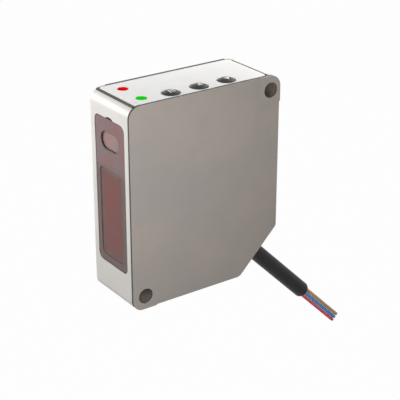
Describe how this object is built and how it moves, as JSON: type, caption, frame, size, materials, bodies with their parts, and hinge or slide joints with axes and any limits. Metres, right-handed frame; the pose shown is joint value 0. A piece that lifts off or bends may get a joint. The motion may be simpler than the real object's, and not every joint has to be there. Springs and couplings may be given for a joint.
{
  "type": "laser displacement sensor",
  "caption": "Slim laser triangulation distance sensor: flat metal housing with a smoked front window, push keys and lamps on top, corner mounting holes and a stripped cable end",
  "frame": {"origin": "on the far side face of the housing, midway between the two mounting holes", "axes": "+X across the width from the far side face to the near cover, +Y from the window to the rear, +Z from the base to the keys"},
  "size_m": [0.0204, 0.0856, 0.0957],
  "materials": {
    "cast_white": "satin off-white paint on a die casting",
    "moulded_white": "satin",
    "taupe_paint": "satin warm grey paint",
    "smoked_window": "smoked red-brown",
    "seal_rubber": "matte",
    "key_rubber": "satin dark grey",
    "black_plastic": "matte",
    "board_green": "solder mask",
    "chip_black": "matte",
    "brass": "turned",
    "steel": "plated",
    "optical_glass": "clear",
    "red_lamp": "translucent",
    "green_lamp": "translucent",
    "flex_amber": "film",
    "jacket_black": "satin",
    "lead_brown": "satin",
    "lead_blue": "satin",
    "lead_red": "satin",
    "white_nylon": "matte"
  },
  "bodies": {
    "sensor_body": {"housing": "cast_white", "front_window": "smoked_window", "window_seal": "seal_rubber", "near_side_cover": "taupe_paint", "cover_seal": "seal_rubber", "top_panel": "moulded_white", "top_panel_seal": "seal_rubber", "mode_switch": "chip_black", "up_switch": "chip_black", "down_switch": "chip_black", "red_light_pipe": "red_lamp", "green_light_pipe": "green_lamp", "red_led": "white_nylon", "green_led": "white_nylon", "key_board": "board_green", "key_board_screw_far": "steel", "key_board_screw_near": "steel", "optics_carrier": "black_plastic", "carrier_screw_waist": "steel", "carrier_screw_low_front": "steel", "carrier_screw_low_rear": "steel", "image_sensor": "chip_black", "sensor_board": "board_green", "sensor_board_screw_high": "steel", "sensor_board_screw_low": "steel", "laser_barrel": "brass", "collimator_lens": "optical_glass", "laser_diode": "steel", "laser_board": "board_green", "receiver_lens": "optical_glass", "lens_retainer": "black_plastic", "main_board": "board_green", "main_board_screw_high_rear": "steel", "main_board_screw_high_front": "steel", "main_board_screw_low_rear": "steel", "main_board_screw_low_front": "steel", "processor": "chip_black", "lead_socket": "white_nylon", "key_flex": "flex_amber", "flex_socket": "white_nylon", "cable_gland": "seal_rubber", "cable_crimp": "brass", "cable_jacket": "jacket_black", "brown_lead": "lead_brown", "blue_lead": "lead_blue", "red_lead": "lead_red", "brown_inner_lead": "lead_brown", "blue_inner_lead": "lead_blue", "red_inner_lead": "lead_red"},
    "mode_button": {"mode_key": "key_rubber", "mode_switch_plunger": "black_plastic"},
    "up_button": {"up_key": "key_rubber", "up_switch_plunger": "black_plastic"},
    "down_button": {"down_key": "key_rubber", "down_switch_plunger": "black_plastic"}
  },
  "joints": [
    {"name": "mode_press", "type": "slide", "parent": "sensor_body", "child": "mode_button", "axis": [0, 0, -1], "range_m": [0, 0.0003], "stiffness_N_per_m": 2000},
    {"name": "up_press", "type": "slide", "parent": "sensor_body", "child": "up_button", "axis": [0, 0, -1], "range_m": [0, 0.0003], "stiffness_N_per_m": 2000},
    {"name": "down_press", "type": "slide", "parent": "sensor_body", "child": "down_button", "axis": [0, 0, -1], "range_m": [0, 0.0003], "stiffness_N_per_m": 2000}
  ]
}
